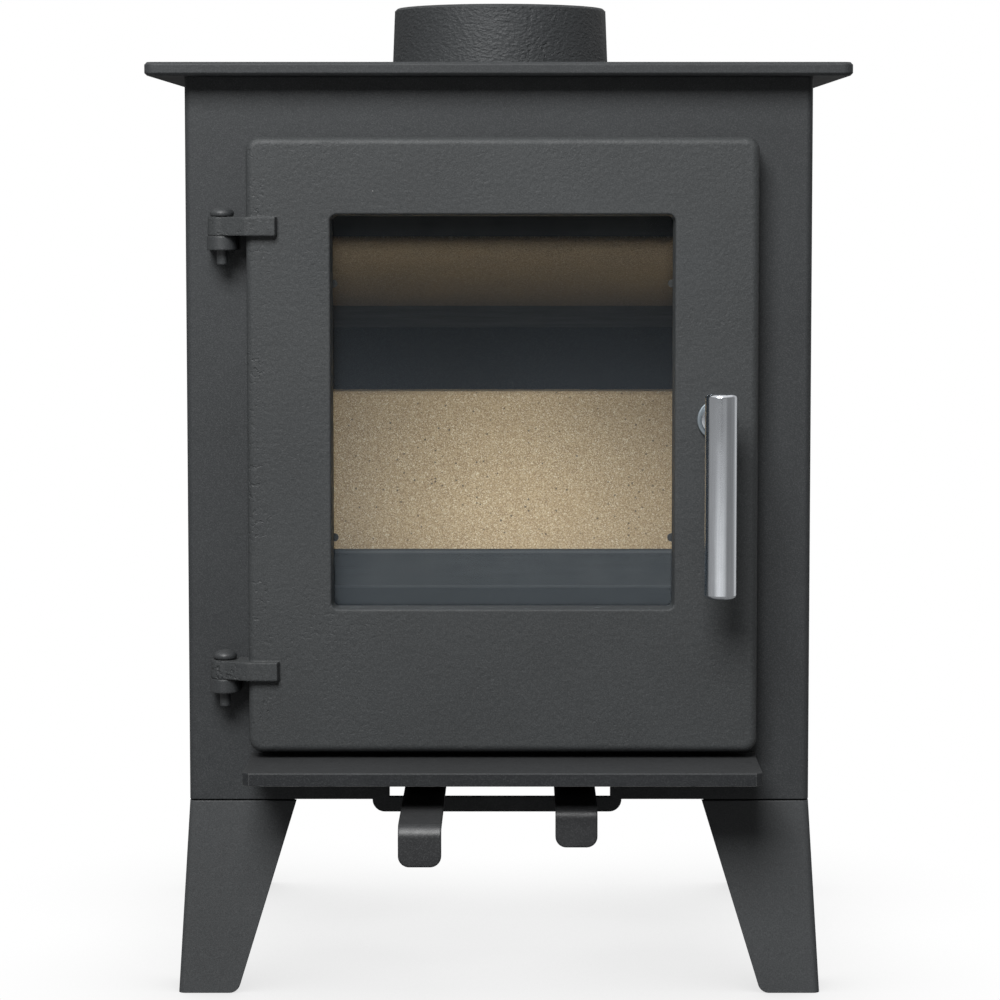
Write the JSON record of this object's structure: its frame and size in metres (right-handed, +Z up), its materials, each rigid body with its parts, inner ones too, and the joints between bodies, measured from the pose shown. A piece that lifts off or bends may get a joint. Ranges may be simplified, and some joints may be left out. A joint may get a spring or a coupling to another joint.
{
  "type": "multi-fuel stove",
  "caption": "Small free-standing steel stove on splayed legs, with a glazed cast door hinged on the left, an ash lip, push-pull air levers and a round top flue collar.",
  "frame": {"origin": "on the floor, under the middle of the whole stove's box", "axes": "+Z up along the flue axis, -Y to the front where the door is, +X to the right as seen from the front"},
  "size_m": [0.421, 0.419, 0.6053],
  "materials": {
    "body_paint": "matt heat-resistant charcoal paint",
    "cast_paint": "cast skin under matt charcoal paint",
    "bright_steel": "polished",
    "plain_steel": "plain dark steel",
    "lever_paint": "matt charcoal paint",
    "grate_iron": "bare cast iron",
    "fire_board": "pressed vermiculite board",
    "rope": "woven glass rope",
    "glass": "clear ceramic glass"
  },
  "bodies": {
    "stove": {"body_wrap": "body_paint", "back_panel": "body_paint", "base_plate": "body_paint", "leg_pads": "body_paint", "top_plate": "body_paint", "outlet_bridge": "body_paint", "front_shelf": "body_paint", "leg_front_left": "body_paint", "leg_front_right": "body_paint", "leg_rear_left": "body_paint", "leg_rear_right": "body_paint", "hinge_lug_upper": "body_paint", "hinge_lug_lower": "body_paint", "hinge_pin_upper": "body_paint", "hinge_pin_lower": "body_paint", "latch_catch": "body_paint", "flue_collar": "cast_paint", "outlet_cover": "cast_paint", "collar_screws": "plain_steel", "outlet_bolt": "plain_steel", "leg_bolts": "plain_steel", "airwash_guide": "plain_steel", "primary_air_guide": "plain_steel", "airwash_floor_duct": "plain_steel", "airwash_riser": "plain_steel", "airwash_deflector": "plain_steel", "ash_pan_runner_left": "plain_steel", "ash_pan_runner_right": "plain_steel", "baffle_ledge": "plain_steel", "grate_frame": "plain_steel", "fuel_retainer": "plain_steel", "grate": "grate_iron", "rear_brick": "fire_board", "side_brick_left": "fire_board", "side_brick_right": "fire_board", "baffle_board": "fire_board"},
    "door": {"door_frame": "cast_paint", "door_rope_seal": "rope", "door_glass": "glass", "glass_gasket": "rope", "glass_clips": "plain_steel", "clip_screws": "plain_steel"},
    "door_handle": {"handle_bar": "bright_steel", "handle_stem": "bright_steel", "handle_washer": "bright_steel", "latch_cam": "plain_steel", "latch_nut": "plain_steel"},
    "airwash_control": {"airwash_slide": "lever_paint"},
    "primary_air_control": {"primary_air_slide": "lever_paint"},
    "ash_drawer": {"ash_pan": "plain_steel"}
  },
  "joints": [
    {"name": "door_hinge", "type": "hinge", "parent": "stove", "child": "door", "pos_m": [-0.165, -0.1165, 0.335], "axis": [0, 0, -1], "range_deg": [0, 160]},
    {"name": "handle_turn", "type": "hinge", "parent": "door", "child": "door_handle", "pos_m": [0.1301, -0.1275, 0.3518], "axis": [0, -1, 0], "range_deg": [0, 90]},
    {"name": "airwash_lever", "type": "slide", "parent": "stove", "child": "airwash_control", "axis": [0, -1, 0], "range_m": [-0.056, 0]},
    {"name": "primary_air_lever", "type": "slide", "parent": "stove", "child": "primary_air_control", "axis": [0, -1, 0], "range_m": [0, 0.056]},
    {"name": "ash_pan_slide", "type": "slide", "parent": "stove", "child": "ash_drawer", "axis": [0, -1, 0], "range_m": [0, 0.2]}
  ],
  "couplings": [
    {"joint": "ash_pan_slide", "follows": "door_hinge", "m_per_rad": 0.0716}
  ]
}
